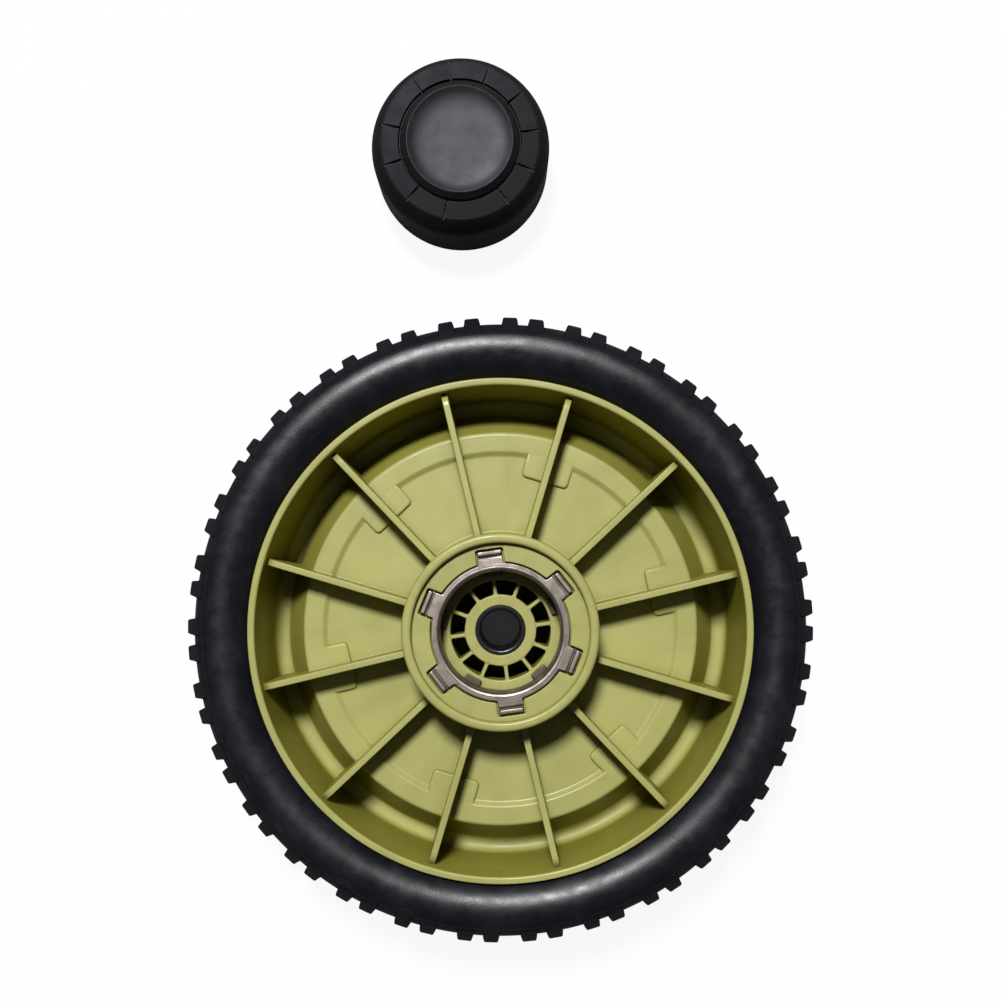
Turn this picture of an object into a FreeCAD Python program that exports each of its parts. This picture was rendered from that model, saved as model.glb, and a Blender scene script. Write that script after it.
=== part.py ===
import FreeCAD, Part
import math
import os

import Sketcher

# A lawn mower wheel in millimetres: a tyre on a ribbed one-piece rim, with a steel drive ring and a sleeve bush
# in its hub, and its hub cap lying beside it on the same floor. The axle runs along Z, z = 0 is the middle of the
# tyre's width, and the wheel lies on its outer side, so its inner, machine side faces up.

SIZES = {
    # Tyre
    "tyre_height": 20.6,
    "tyre_width": 44.4,
    "crest_share": 0.463,
    "sidewall_share": 0.683,
    "sidewall_curve_share": 0.585,
    "shoulder_curve": 14.0,
    "shoulder_drop": 9.6,
    "tyre_fit": 0.1,
    "key_depth": 1.2,
    "key_width": 10.0,
    "key_side": 1.2,
    # Tread
    "tread_depth": 2.2,
    "tread_pairs": 30,
    "tread_phase": 13.8,
    "pair_spread": 4.9,
    "block_tip_width": 4.5,
    "block_base_width": 5.3,
    "block_root_depth": 7.0,
    "row_gap": 3.0,
    "block_end_drop": 1.6,
    "block_end_depth": 5.2,
    "tip_end_drop": 8.7,
    "trim_reach": 3.0,
    # Rim barrel and web
    "rim_radius": 80.9,
    "rim_inset": 1.7,
    "barrel_wall": 2.3,
    "barrel_foot_wall": 4.1,
    "outer_foot_wall": 3.3,
    "channel_depth": 30.0,
    "channel_width": 4.4,
    "slope_run": 7.8,
    "slope_wall": 2.8,
    "ring_depth": 13.0,
    "ring_width": 6.8,
    "ring_rise": 1.2,
    "web_wall": 2.6,
    "edge_round": 0.6,
    "channel_round": 2.1,
    "plateau_round": 2.0,
    "step_round": 0.4,
    # Ribs and tongues of the web
    "rib_count": 12,
    "rib_phase": 13.5,
    "rib_wall": 2.4,
    "rib_drop": 2.0,
    "rib_setback": 1.3,
    "rib_end_drop": 4.0,
    "tongue_count": 6,
    "tongue_length": 7.3,
    "tongue_width": 15.8,
    "tongue_round": 1.2,
    # Hub
    "face_margin": 1.8,
    "hub_draft": 0.8,
    "hub_foot_round": 1.5,
    "lip_height": 9.0,
    "lip_width": 2.8,
    "lip_round": 1.2,
    "hub_face_drop": 2.5,
    "hub_plate": 3.0,
    "ledge_depth": 12.0,
    "ledge_width": 3.0,
    "core_wall": 2.8,
    "core_shelf": 4.0,
    "core_floor_wall": 2.5,
    "core_reach": 8.0,
    "tube_wall": 3.5,
    "tube_reach": 10.0,
    "spoke_count": 12,
    "spoke_phase": 8.0,
    "spoke_wall": 1.3,
    "spoke_drop": 0.3,
    "boss_inset": 0.2,
    "boss_wall": 2.6,
    "boss_length": 9.7,
    # Steel drive ring
    "ring_bore_radius": 19.2,
    "ring_sheet": 1.5,
    "ring_bend": 1.1,
    "flange_width": 1.1,
    "flange_drop": 0.5,
    "flange_gap": 0.3,
    "skirt_gap": 0.1,
    "tab_count": 6,
    "tab_phase": 38.0,
    "tab_length": 4.1,
    "tab_width": 7.9,
    "tab_lip_width": 1.6,
    "tab_lip_rise": 0.3,
    "tab_lip_bevel": 0.4,
    "tab_groove_width": 0.8,
    "tab_groove_depth": 0.8,
    "notch_round": 0.8,
    "foot_count": 5,
    "foot_phase": 25.0,
    "foot_length": 2.0,
    "foot_width": 5.6,
    "foot_sheet": 1.2,
    # Axle bush
    "axle_radius": 6.4,
    "bush_wall": 1.65,
    "bush_fit": 0.05,
    "bush_drop": 0.8,
    "bush_bevel": 0.5,
    # Hub cap
    "cap_wall": 2.0,
    "cap_fit": 0.2,
    "cap_side_height": 19.0,
    "cap_shoulder_run": 3.8,
    "cap_shoulder_rise": 7.0,
    "cap_shoulder_curve": 12.0,
    "cap_ring_width": 5.7,
    "cap_ring_rise": 0.8,
    "cap_groove_width": 0.8,
    "cap_groove_depth": 1.0,
    "cap_bevel_run": 2.4,
    "cap_bevel_rise": 1.6,
    "cap_crest_round": 0.9,
    "cap_dish_depth": 0.9,
    "cap_notch_width": 0.9,
    "cap_notch_depth": 1.3,
    "cap_notch_pitch": 30.0,
    "cap_long_run": 7,
    "cap_long_run_start": 308.0,
    "cap_short_run": 4,
    "cap_short_run_start": 168.0,
    "cap_place_x": -13.5,
    "cap_place_y": 162.0,
}


class Size:
    """A number that remembers the sheet formula it comes from."""

    def __init__(self, value, formula):
        self.value = value
        self.formula = formula

    def __add__(self, other):
        other = as_size(other)
        return Size(self.value + other.value, f"({self.formula} + {other.formula})")

    def __sub__(self, other):
        other = as_size(other)
        return Size(self.value - other.value, f"({self.formula} - {other.formula})")

    def __mul__(self, other):
        other = as_size(other)
        return Size(self.value * other.value, f"{self.formula} * {other.formula}")

    def __truediv__(self, other):
        other = as_size(other)
        return Size(self.value / other.value, f"{self.formula} / ({other.formula})")

    def __neg__(self):
        return Size(-self.value, f"(-1 * {self.formula})")


def as_size(number):
    return number if isinstance(number, Size) else Size(number, str(number))


def root(size):
    return Size(math.sqrt(size.value), f"sqrt({size.formula})")


def polar(radius, angle):
    """The point at a radius and an angle in degrees."""
    turn = math.radians(angle.value)
    return (
        Size(radius.value * math.cos(turn), f"{radius.formula} * cos({angle.formula})"),
        Size(radius.value * math.sin(turn), f"{radius.formula} * sin({angle.formula})"),
    )


def rotated(along, across, angle):
    """The point that lies along and across a direction given by its angle in degrees."""
    x, y = polar(along, angle)
    side_y, side_x = polar(across, angle)
    return x - side_x, y + side_y


doc = FreeCAD.newDocument("mower_wheel")
sheet = doc.addObject("Spreadsheet::Sheet", "sizes")
for row, (alias, number) in enumerate(SIZES.items(), start=1):
    sheet.set(f"A{row}", alias.replace("_", " "))
    sheet.set(f"B{row}", str(number))
    sheet.setAlias(f"B{row}", alias)
doc.recompute()


def size(alias):
    return Size(float(sheet.get(alias)), f"sizes.{alias}")


def new_body(label):
    body = doc.addObject("PartDesign::Body", label)
    body.Label = label
    return body


def origin_part(body, role):
    return next(part for part in body.Origin.OriginFeatures if part.Role == role)


def new_sketch(body, name, role, turn=None, lift=None):
    """A sketch on one of the body's own planes, turned about the axle and lifted along it."""
    sketch = body.newObject("Sketcher::SketchObject", name)
    sketch.AttachmentSupport = [(origin_part(body, role), "")]
    sketch.MapMode = "FlatFace"
    axle = FreeCAD.Vector(0, 0, 1) if role == "XY_Plane" else FreeCAD.Vector(0, 1, 0)
    if turn is not None:
        rotation = FreeCAD.Rotation(axle, turn.value)
        sketch.AttachmentOffset = FreeCAD.Placement(FreeCAD.Vector(), rotation)
        sketch.setExpression("AttachmentOffset.Rotation.Angle", turn.formula)
    if lift is not None:
        sketch.setExpression("AttachmentOffset.Base.z", lift.formula)
    return sketch


def vector(corner):
    return FreeCAD.Vector(corner[0].value, corner[1].value, 0)


def arc_between(start, end, radius, side):
    """The shorter arc from start to end that bows to the left or to the right of its chord."""
    chord = end - start
    left = FreeCAD.Vector(-chord.y, chord.x, 0).normalize()
    outward = left if side == "left" else -left
    reach = math.sqrt(radius**2 - (chord.Length / 2) ** 2)
    centre = (start + end) / 2 - outward * reach
    first, last = (end, start) if side == "left" else (start, end)
    angles = [math.atan2(point.y - centre.y, point.x - centre.x) for point in (first, last)]
    circle = Part.Circle(centre, FreeCAD.Vector(0, 0, 1), radius)
    return Part.ArcOfCircle(circle, angles[0], angles[1])


def tie(sketch, kind, places, value):
    """Adds one constraint and binds it to the sheet."""
    index = sketch.addConstraint(Sketcher.Constraint(kind, *places, value.value))
    sketch.setExpression(f"Constraints[{index}]", value.formula)


def add_outline(sketch, corners):
    """Draws a closed outline. A corner is (x, y), or (x, y, side, radius) where an arc leads to the next one."""
    first = sketch.GeometryCount
    count = len(corners)
    ends = []
    for index, corner in enumerate(corners):
        start = vector(corner)
        end = vector(corners[(index + 1) % count])
        if len(corner) == 2:
            sketch.addGeometry(Part.LineSegment(start, end))
            ends.append((1, 2))
        else:
            side, radius = corner[2:]
            sketch.addGeometry(arc_between(start, end, radius.value, side))
            ends.append((2, 1) if side == "left" else (1, 2))
    for index, corner in enumerate(corners):
        edge = first + index
        before = first + (index - 1) % count
        start = ends[index][0]
        sketch.addConstraint(Sketcher.Constraint("Coincident", before, ends[index - 1][1], edge, start))
        tie(sketch, "DistanceX", (-1, 1, edge, start), as_size(corner[0]))
        tie(sketch, "DistanceY", (-1, 1, edge, start), as_size(corner[1]))
        if len(corner) > 2:
            tie(sketch, "Radius", (edge,), corner[3])


def revolve(body, name, corners):
    """Turns a half section, given as radius and height, about the axle."""
    sketch = new_sketch(body, f"{name}_section", "XZ_Plane")
    add_outline(sketch, corners)
    turned = body.newObject("PartDesign::Revolution", name)
    turned.Profile = sketch
    turned.ReferenceAxis = (sketch, ["V_Axis"])
    turned.Angle = 360
    doc.recompute()
    return turned


def groove(body, name, outlines):
    """Cuts half sections, given as radius and height, all round the axle."""
    sketch = new_sketch(body, f"{name}_section", "XZ_Plane")
    for corners in outlines:
        add_outline(sketch, corners)
    cut = body.newObject("PartDesign::Groove", name)
    cut.Profile = sketch
    cut.ReferenceAxis = (sketch, ["V_Axis"])
    cut.Angle = 360
    doc.recompute()
    return cut


def upright(body, name, corners, wall, turn):
    """Pads a profile of radius and height to both sides of its own radial plane."""
    sketch = new_sketch(body, f"{name}_profile", "XZ_Plane", turn)
    add_outline(sketch, corners)
    pad = body.newObject("PartDesign::Pad", name)
    pad.Profile = sketch
    pad.SideType = "Symmetric"
    pad.setExpression("Length", wall.formula)
    doc.recompute()
    return pad


def flat(body, kind, name, outlines, height, lift, turn=None):
    """Pads plan outlines upwards from a level, or pockets them downwards from it."""
    sketch = new_sketch(body, f"{name}_plan", "XY_Plane", turn, lift)
    for corners in outlines:
        add_outline(sketch, corners)
    feature = body.newObject(f"PartDesign::{kind}", name)
    feature.Profile = sketch
    feature.setExpression("Length", height.formula)
    doc.recompute()
    return feature


def round_pattern(body, name, originals, count, extent=None):
    """Repeats features round the axle, over the full turn or over an extent in degrees."""
    pattern = body.newObject("PartDesign::PolarPattern", name)
    pattern.Originals = originals
    pattern.Axis = (origin_part(body, "Z_Axis"), [""])
    pattern.Angle = 360
    if extent is not None:
        pattern.setExpression("Angle", extent.formula)
    pattern.setExpression("Occurrences", count.formula)
    body.Tip = pattern
    doc.recompute()
    return pattern


def round_edges(body, name, rings, radius):
    """Fillets the circular edges that lie at the given radii and heights."""
    base = body.Tip
    places = [(ring[0].value, ring[1].value) for ring in rings]
    found = []
    for index, edge in enumerate(base.Shape.Edges, start=1):
        if edge.Degenerated or not isinstance(edge.Curve, Part.Circle):
            continue
        place = (edge.Curve.Radius, edge.Curve.Center.z)
        if any(math.dist(place, wanted) < MATCH for wanted in places):
            found.append(f"Edge{index}")
    if len(found) != len(places):
        raise ValueError(f"{name}: found {len(found)} of {len(places)} edges")
    fillet = body.newObject("PartDesign::Fillet", name)
    fillet.Base = (base, found)
    fillet.setExpression("Radius", radius.formula)
    doc.recompute()
    return fillet


def check_volume(before, after, grows):
    """Stops where a feature that adds or cuts has left the solid as it was."""
    change = after.Shape.Volume - before
    if (change > 0) != grows or abs(change) < MATCH:
        raise ValueError(f"{after.Name} changed the volume by {change}")


# How closely an edge has to match the ring it is looked up by
MATCH = 1e-4

# Heights along the axle that several pieces share
tyre_half = size("tyre_width") / 2
rim_half = tyre_half - size("rim_inset")
ring_top = rim_half - size("ring_depth")
web_top = ring_top - size("ring_rise")
web_under = web_top - size("web_wall")
channel_floor = rim_half - size("channel_depth")
rib_top = rim_half - size("rib_drop")
lip_top = rim_half + size("lip_height")
hub_face = lip_top - size("hub_face_drop")
flange_top = hub_face - size("flange_drop")
flange_under = flange_top - size("ring_sheet")
ledge = hub_face - size("ledge_depth")
core_floor = size("core_floor_wall") - size("core_reach")

# Radii that several pieces share
rim_radius = size("rim_radius")
tyre_radius = rim_radius + size("tyre_height")
barrel_inside = rim_radius - size("barrel_wall")
skirt_radius = size("ring_bore_radius") + size("ring_sheet")
skirt_seat = skirt_radius + size("skirt_gap")
flange_radius = skirt_radius + size("flange_width")
flange_seat = flange_radius + size("flange_gap")
tab_radius = flange_radius + size("tab_length")
hub_inside = tab_radius + size("flange_gap") + size("face_margin")
boss_radius = hub_inside - size("boss_inset")
cap_inside = boss_radius + size("cap_fit")
bush_radius = size("axle_radius") + size("bush_wall")
tube_bore = bush_radius + size("bush_fit")


def mirrored(corners):
    """The same outline on the other side of the wheel's mid-plane."""
    return [(radius, -height) for radius, height in corners]


def build_tyre():
    """One moulding: bulging sidewalls, a key that sits in the rim's groove and two rows of paired blocks."""
    body = new_body("tyre")
    seat = rim_radius + size("tyre_fit")
    curve = (tyre_radius - seat) * size("sidewall_curve_share")
    crest = seat + (tyre_radius - seat) * size("crest_share")
    wall_end = seat + (tyre_radius - seat) * size("sidewall_share")
    floor = tyre_radius - size("tread_depth")
    shoulder = tyre_half - size("shoulder_drop")
    key_half = size("key_width") / 2 - size("tyre_fit")
    key_foot = key_half + size("key_side")

    def bulge(radius):
        return tyre_half - curve + root(curve * curve - (radius - crest) * (radius - crest))

    revolve(body, "carcass", [
        (seat, -bulge(seat), "right", curve),
        (wall_end, -bulge(wall_end), "right", size("shoulder_curve")),
        (floor, -shoulder),
        (floor, shoulder, "right", size("shoulder_curve")),
        (wall_end, bulge(wall_end), "right", curve),
        (seat, bulge(seat)),
        (seat, key_foot),
        (seat - size("key_depth"), key_half),
        (seat - size("key_depth"), -key_half),
        (seat, -key_foot),
    ])

    def block(angle):
        base_half = size("block_base_width") / 2
        tip_half = size("block_tip_width") / 2
        block_root = tyre_radius - size("block_root_depth")
        side = [(block_root, base_half), (floor, base_half), (tyre_radius, tip_half)]
        loop = side + [(radius, -half) for radius, half in reversed(side)]
        return [rotated(radius, half, angle) for radius, half in loop]

    def pair(centre):
        spread = size("pair_spread") / 2
        return [block(centre - spread), block(centre + spread)]

    # The near row is the one that shows, and the far row lies half a pitch on from it.
    half_pitch = Size(180, "180") / size("tread_pairs")
    row_start = size("row_gap") / 2
    block_end = tyre_half - size("block_end_drop")
    row_length = block_end - row_start
    near = flat(body, "Pad", "near_pair", pair(size("tread_phase")), row_length, row_start)
    far = flat(body, "Pad", "far_pair", pair(size("tread_phase") + half_pitch), row_length,
               -block_end)
    tread = round_pattern(body, "tread", [near, far], size("tread_pairs"))

    # The blocks' ends slope down the shoulders.
    beyond = tyre_radius + size("trim_reach")
    above = block_end + size("trim_reach")
    end_radius = tyre_radius - size("block_end_depth")
    tip_end = tyre_half - size("tip_end_drop")
    trim = [
        (tyre_radius, tip_end),
        (end_radius, block_end),
        (end_radius, above),
        (beyond, above),
        (beyond, tip_end),
    ]
    check_volume(tread.Shape.Volume, groove(body, "block_ends", [trim, mirrored(trim)]), grows=False)
    return body


def build_rim():
    """One moulding: barrel, channel, web with its raised ring, ribs, hub, axle tube and cap boss."""
    body = new_body("rim")
    web = size("web_wall")
    foot = rim_radius - size("barrel_foot_wall")
    channel = foot - size("channel_width")
    plateau = channel - size("slope_run")
    step = plateau - size("ring_width")
    hub = hub_inside + size("lip_width")
    hub_foot = hub + size("hub_draft")
    core = size("ring_bore_radius") - size("ledge_width")
    core_outside = core + size("core_wall")
    core_top_outside = skirt_seat + size("core_wall")
    plate_under = hub_face - size("hub_plate")
    tube = tube_bore + size("tube_wall")
    tube_end = -size("tube_reach")
    boss_inside = boss_radius - size("boss_wall")
    boss_end = web_under - size("boss_length")
    channel_under = channel_floor - web
    ring_under = ring_top - web
    key_half = size("key_width") / 2
    key_foot = key_half + size("key_side")
    shelf = ledge - size("core_shelf")

    def slope_under(height):
        lean = (channel - plateau) * (ring_top - height) / (ring_top - channel_floor)
        return plateau - size("slope_wall") + lean

    revolve(body, "section", [
        (rim_radius, rim_half),
        (barrel_inside, rim_half),
        (foot, channel_floor),
        (channel, channel_floor),
        (plateau, ring_top),
        (step, ring_top),
        (step, web_top),
        (hub_foot, web_top),
        (hub, lip_top),
        (hub_inside, lip_top),
        (hub_inside, hub_face),
        (flange_seat, hub_face),
        (flange_seat, flange_under),
        (skirt_seat, flange_under),
        (skirt_seat, ledge),
        (core, ledge),
        (core, core_floor),
        (tube, core_floor),
        (tube, ledge),
        (tube_bore, ledge),
        (tube_bore, tube_end),
        (tube, tube_end),
        (tube, -size("core_reach")),
        (core_outside, -size("core_reach")),
        (core_outside, shelf),
        (core_top_outside, shelf),
        (core_top_outside, plate_under),
        (hub_inside, plate_under),
        (hub_inside, web_top),
        (boss_inside, web_top - web / 2),
        (boss_inside, boss_end),
        (boss_radius, boss_end),
        (boss_radius, web_under),
        (step, web_under),
        (step, ring_under),
        (slope_under(ring_under), ring_under),
        (slope_under(channel_under), channel_under),
        (rim_radius - size("outer_foot_wall"), channel_under),
        (barrel_inside, -rim_half),
        (rim_radius, -rim_half),
        (rim_radius, -key_foot),
        (rim_radius - size("key_depth"), -key_half),
        (rim_radius - size("key_depth"), key_half),
        (rim_radius, key_foot),
    ])
    edges = [(radius, height) for radius in (rim_radius, barrel_inside) for height in (rim_half, -rim_half)]
    round_edges(body, "barrel_edges", edges, size("edge_round"))
    corners = [(foot, channel_floor), (channel, channel_floor)]
    round_edges(body, "channel_corners", corners, size("channel_round"))
    round_edges(body, "plateau_edge", [(plateau, ring_top)], size("plateau_round"))
    round_edges(body, "ring_step", [(step, ring_top), (step, web_top)], size("step_round"))
    round_edges(body, "hub_foot", [(hub_foot, web_top)], size("hub_foot_round"))
    round_edges(body, "hub_lip", [(hub, lip_top), (hub_inside, lip_top)], size("lip_round"))
    round_edges(body, "core_edges", [(core, ledge), (tube, ledge)], size("step_round"))

    # Each rib stands on the web, crosses the channel and stops short of the barrel's edge.
    mid_web = web_top - web / 2
    in_barrel = barrel_inside + size("barrel_wall") / 2
    rib = upright(body, "rib", [
        (hub_inside + size("lip_width") / 2, rib_top),
        (barrel_inside - size("rib_setback"), rib_top),
        (in_barrel, rib_top - size("rib_end_drop")),
        (in_barrel, channel_floor),
        (foot, channel_floor - web / 2),
        (channel, channel_floor - web / 2),
        (plateau - size("slope_wall") / 2, mid_web),
        (hub_inside + size("lip_width") / 2, mid_web),
    ], size("rib_wall"), size("rib_phase"))
    round_pattern(body, "ribs", [rib], size("rib_count"))

    # Tongues of the raised ring reach inwards under every second rib.
    half = size("tongue_width") / 2
    corner = size("tongue_round")
    inner = step - size("tongue_length")
    tongue = flat(body, "Pad", "tongue", [[
        (step + corner, -half),
        (step + corner, half),
        (inner + corner, half, "right", corner),
        (inner, half - corner),
        (inner, corner - half, "right", corner),
        (inner + corner, -half),
    ]], size("ring_rise") + web / 2, mid_web, size("rib_phase"))
    round_pattern(body, "tongues", [tongue], size("tongue_count"))

    # Thin spokes hold the axle tube inside the hub's core.
    spoke_top = ledge - size("spoke_drop")
    in_tube = tube - size("spoke_wall")
    in_core = core + size("spoke_wall")
    in_floor = core_floor - size("core_floor_wall") / 2
    spoke = upright(body, "spoke", [
        (in_tube, in_floor),
        (in_core, in_floor),
        (in_core, spoke_top),
        (in_tube, spoke_top),
    ], size("spoke_wall"), size("spoke_phase"))
    spokes = round_pattern(body, "spokes", [spoke], size("spoke_count"))

    # Notches in the hub face take the drive ring's tabs.
    gap = size("flange_gap")
    notch_half = size("tab_width") / 2 + gap
    notch_end = tab_radius + gap
    bend = size("notch_round")
    notch = flat(body, "Pocket", "tab_notch", [[
        (skirt_radius, -notch_half),
        (notch_end - bend, -notch_half, "right", bend),
        (notch_end, bend - notch_half),
        (notch_end, notch_half - bend, "right", bend),
        (notch_end - bend, notch_half),
        (skirt_radius, notch_half),
    ]], hub_face - flange_under, hub_face, size("tab_phase"))
    check_volume(spokes.Shape.Volume, notch, grows=False)
    round_pattern(body, "tab_notches", [notch], size("tab_count"))
    return body


def build_drive_ring():
    """One pressed ring: a flange with six tabs in the hub face, a skirt down to the ledge and inturned feet."""
    body = new_body("drive_ring")
    bore = size("ring_bore_radius")
    sheet_wall = size("ring_sheet")
    revolve(body, "ring", [
        (bore, ledge),
        (skirt_radius, ledge),
        (skirt_radius, flange_under),
        (flange_radius, flange_under),
        (flange_radius, flange_top),
        (bore, flange_top),
    ])
    round_edges(body, "ring_bend_edge", [(bore, flange_top)], size("ring_bend"))

    # A pressed groove runs across each tab, just inside its raised end.
    bevel = size("tab_lip_bevel")
    lip_start = tab_radius - size("tab_lip_width")
    lip_level = flange_top + size("tab_lip_rise")
    groove_start = lip_start - size("tab_groove_width")
    groove_floor = flange_top - size("tab_groove_depth")
    tab_root = flange_radius - sheet_wall / 2
    tab = upright(body, "tab", [
        (tab_root, flange_under),
        (tab_radius, flange_under),
        (tab_radius, lip_level - bevel),
        (tab_radius - bevel, lip_level),
        (lip_start + bevel, lip_level),
        (lip_start, lip_level - bevel),
        (lip_start, groove_floor),
        (groove_start, groove_floor),
        (groove_start, flange_top),
        (tab_root, flange_top),
    ], size("tab_width"), size("tab_phase"))
    round_pattern(body, "tabs", [tab], size("tab_count"))

    foot_half = size("foot_width") / 2
    foot_root = bore + sheet_wall / 2
    foot_end = bore - size("foot_length")
    foot = flat(body, "Pad", "foot", [[
        (foot_end, -foot_half),
        (foot_root, -foot_half),
        (foot_root, foot_half),
        (foot_end, foot_half),
    ]], size("foot_sheet"), ledge, size("foot_phase"))
    round_pattern(body, "feet", [foot], size("foot_count"))
    return body


def build_axle_bush():
    """A sleeve in the axle tube, bevelled at both ends of its bore."""
    body = new_body("axle_bush")
    bore = size("axle_radius")
    bevel = size("bush_bevel")
    top = ledge - size("bush_drop")
    bottom = size("bush_drop") - size("tube_reach")
    revolve(body, "sleeve", [
        (bush_radius, bottom),
        (bush_radius, top),
        (bore + bevel, top),
        (bore, top - bevel),
        (bore, bottom + bevel),
        (bore + bevel, bottom),
    ])
    return body


def build_hub_cap():
    """A hollow cap with a notched ring round its dished face, standing on its open end."""
    body = new_body("hub_cap")
    wall = size("cap_wall")
    outside = cap_inside + wall
    side = size("cap_side_height")
    shoulder = outside - size("cap_shoulder_run")
    shoulder_height = side + size("cap_shoulder_rise")
    ring_inner = shoulder - size("cap_ring_width")
    ring_height = shoulder_height + size("cap_ring_rise")
    groove_floor = ring_height - size("cap_groove_depth")
    face_edge = ring_inner - size("cap_groove_width")
    face = face_edge - size("cap_bevel_run")
    face_height = ring_height + size("cap_bevel_rise")
    dish = size("cap_dish_depth")
    dish_curve = (face * face + dish * dish) / (dish * 2)
    middle = Size(0, "0")
    revolve(body, "shell", [
        (cap_inside, middle),
        (outside, middle),
        (outside, side, "right", size("cap_shoulder_curve")),
        (shoulder, shoulder_height),
        (ring_inner, ring_height),
        (ring_inner, groove_floor),
        (face_edge, groove_floor),
        (face_edge, ring_height),
        (face, face_height, "left", dish_curve),
        (middle, face_height - dish),
        (middle, groove_floor - wall),
        (face_edge, groove_floor - wall),
        (shoulder - wall, shoulder_height - wall),
        (cap_inside, side),
    ])
    round_edges(body, "face_crest", [(face, face_height)], size("cap_crest_round"))

    # Two runs of notches divide the ring, at one pitch.
    half = size("cap_notch_width") / 2
    for run in ("long", "short"):
        count = size(f"cap_{run}_run")
        notch = flat(body, "Pocket", f"{run}_run_notch", [[
            (face_edge, -half),
            (outside, -half),
            (outside, half),
            (face_edge, half),
        ]], size("cap_notch_depth"), ring_height, size(f"cap_{run}_run_start"))
        before = notch.BaseFeature.Shape.Volume
        check_volume(before, notch, grows=False)
        round_pattern(body, f"{run}_run_notches", [notch], count, size("cap_notch_pitch") * (count - 1))
    body.Placement.Base = FreeCAD.Vector(size("cap_place_x").value, size("cap_place_y").value, 0)
    body.setExpression("Placement.Base.x", size("cap_place_x").formula)
    body.setExpression("Placement.Base.y", size("cap_place_y").formula)
    body.setExpression("Placement.Base.z", (-tyre_half).formula)
    return body


bodies = [build_tyre(), build_rim(), build_drive_ring(), build_axle_bush(), build_hub_cap()]
doc.recompute()

for item in doc.Objects:
    if "Invalid" in item.State or "Error" in item.State:
        raise ValueError(f"{item.Label} failed: {item.State}")
for body in bodies:
    if body.Shape.isNull() or not body.Shape.isValid() or len(body.Shape.Solids) != 1:
        raise ValueError(f"{body.Label} is not one valid solid")

os.makedirs("parts", exist_ok=True)
for body in bodies:
    body.Shape.exportStep(f"parts/{body.Label}.step")
    print(f"{body.Label}: {body.Shape.Volume / 1000:.1f} cm3, {body.Shape.BoundBox}")
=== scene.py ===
import math

import bmesh
import bpy
from bpy.props import FloatProperty, FloatVectorProperty, IntProperty, PointerProperty
from mathutils import Matrix, Vector


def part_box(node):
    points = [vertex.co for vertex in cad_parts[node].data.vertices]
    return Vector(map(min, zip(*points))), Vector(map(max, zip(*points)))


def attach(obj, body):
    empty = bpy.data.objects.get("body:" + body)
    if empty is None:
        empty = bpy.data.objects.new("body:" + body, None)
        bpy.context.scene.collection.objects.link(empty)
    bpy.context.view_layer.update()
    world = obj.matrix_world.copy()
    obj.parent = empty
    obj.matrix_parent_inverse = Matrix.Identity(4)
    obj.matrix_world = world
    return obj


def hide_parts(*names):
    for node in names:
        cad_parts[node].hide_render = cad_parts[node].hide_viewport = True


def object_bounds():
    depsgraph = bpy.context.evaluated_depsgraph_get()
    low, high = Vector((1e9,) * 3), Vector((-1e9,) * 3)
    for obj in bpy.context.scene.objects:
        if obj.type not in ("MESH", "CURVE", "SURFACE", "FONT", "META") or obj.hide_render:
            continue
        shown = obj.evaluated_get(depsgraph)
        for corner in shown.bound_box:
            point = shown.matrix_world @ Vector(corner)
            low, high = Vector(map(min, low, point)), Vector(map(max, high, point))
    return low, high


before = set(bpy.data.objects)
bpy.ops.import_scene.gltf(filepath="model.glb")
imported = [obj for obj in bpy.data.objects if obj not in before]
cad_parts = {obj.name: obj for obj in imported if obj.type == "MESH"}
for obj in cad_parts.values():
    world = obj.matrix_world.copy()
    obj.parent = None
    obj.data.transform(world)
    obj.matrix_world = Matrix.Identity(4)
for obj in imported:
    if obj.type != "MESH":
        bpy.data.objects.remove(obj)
CAD_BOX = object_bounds()

bl_info = {
    "name": "Mower wheel",
    "version": (1, 0, 0),
    "blender": (4, 5, 0),
    "location": "View3D > Sidebar > Mower wheel",
    "description": "Builds a lawn mower wheel with its hub cap beside it, and the stage that it lies on",
    "category": "Add Mesh",
}

# Shapes are written in millimetres and degrees, and become metres as they turn into meshes.
MM = 0.001
BODY = "root"
SAME_POINT = 1e-7

TYRE_LOW, TYRE_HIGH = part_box("tyre")
CAP_LOW, CAP_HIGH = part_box("hub_cap")

# Heights on the rim, from the middle of the tyre's width
LIP_TOP = 29.5
FACE_TOP = 27.0
NOTCH_FLOOR = 25.0
RIM_EDGE = 20.5
RIB_TOP = 18.5
LEDGE = 15.0
RAISED_TOP = 7.5
WEB_TOP = 6.3
CORE_FLOOR = -5.5
CHANNEL_FLOOR = -8.5
TUBE_FOOT = -10.0

# Radii on the rim, from the tyre's seat inwards to the bore of the axle tube
RIM_SEAT = 80.9
GROOVE_FLOOR = 79.7
BARREL_INSIDE = 78.6
CHANNEL_OUTER = 76.9
CHANNEL_INNER = 72.2
RAISED_OUTER = 64.6
RAISED_INNER = 58.6
WEB_OUTER = 57.0
HUB_FOOT = 31.7
HUB_TOP = 31.1
LIP_INSIDE = 28.0
HUB_BORE = 20.8
CORE_OUTER = 16.2
TUBE_OUTER = 11.6
TUBE_BORE = 8.1

# Half the height of the rim's groove, at its floor and at its mouth, and the tyre's clearance on the rim
GROOVE_HALF = 5.0
GROOVE_MOUTH = 6.2
TYRE_FIT = 0.1

# Angles at which the first of each set of like features stands
TREAD_START = 13.8
RIB_START = 13.5
SPOKE_START = 8.0
TAB_START = 38.0
FOOT_START = 25.0


# Outlines

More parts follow.
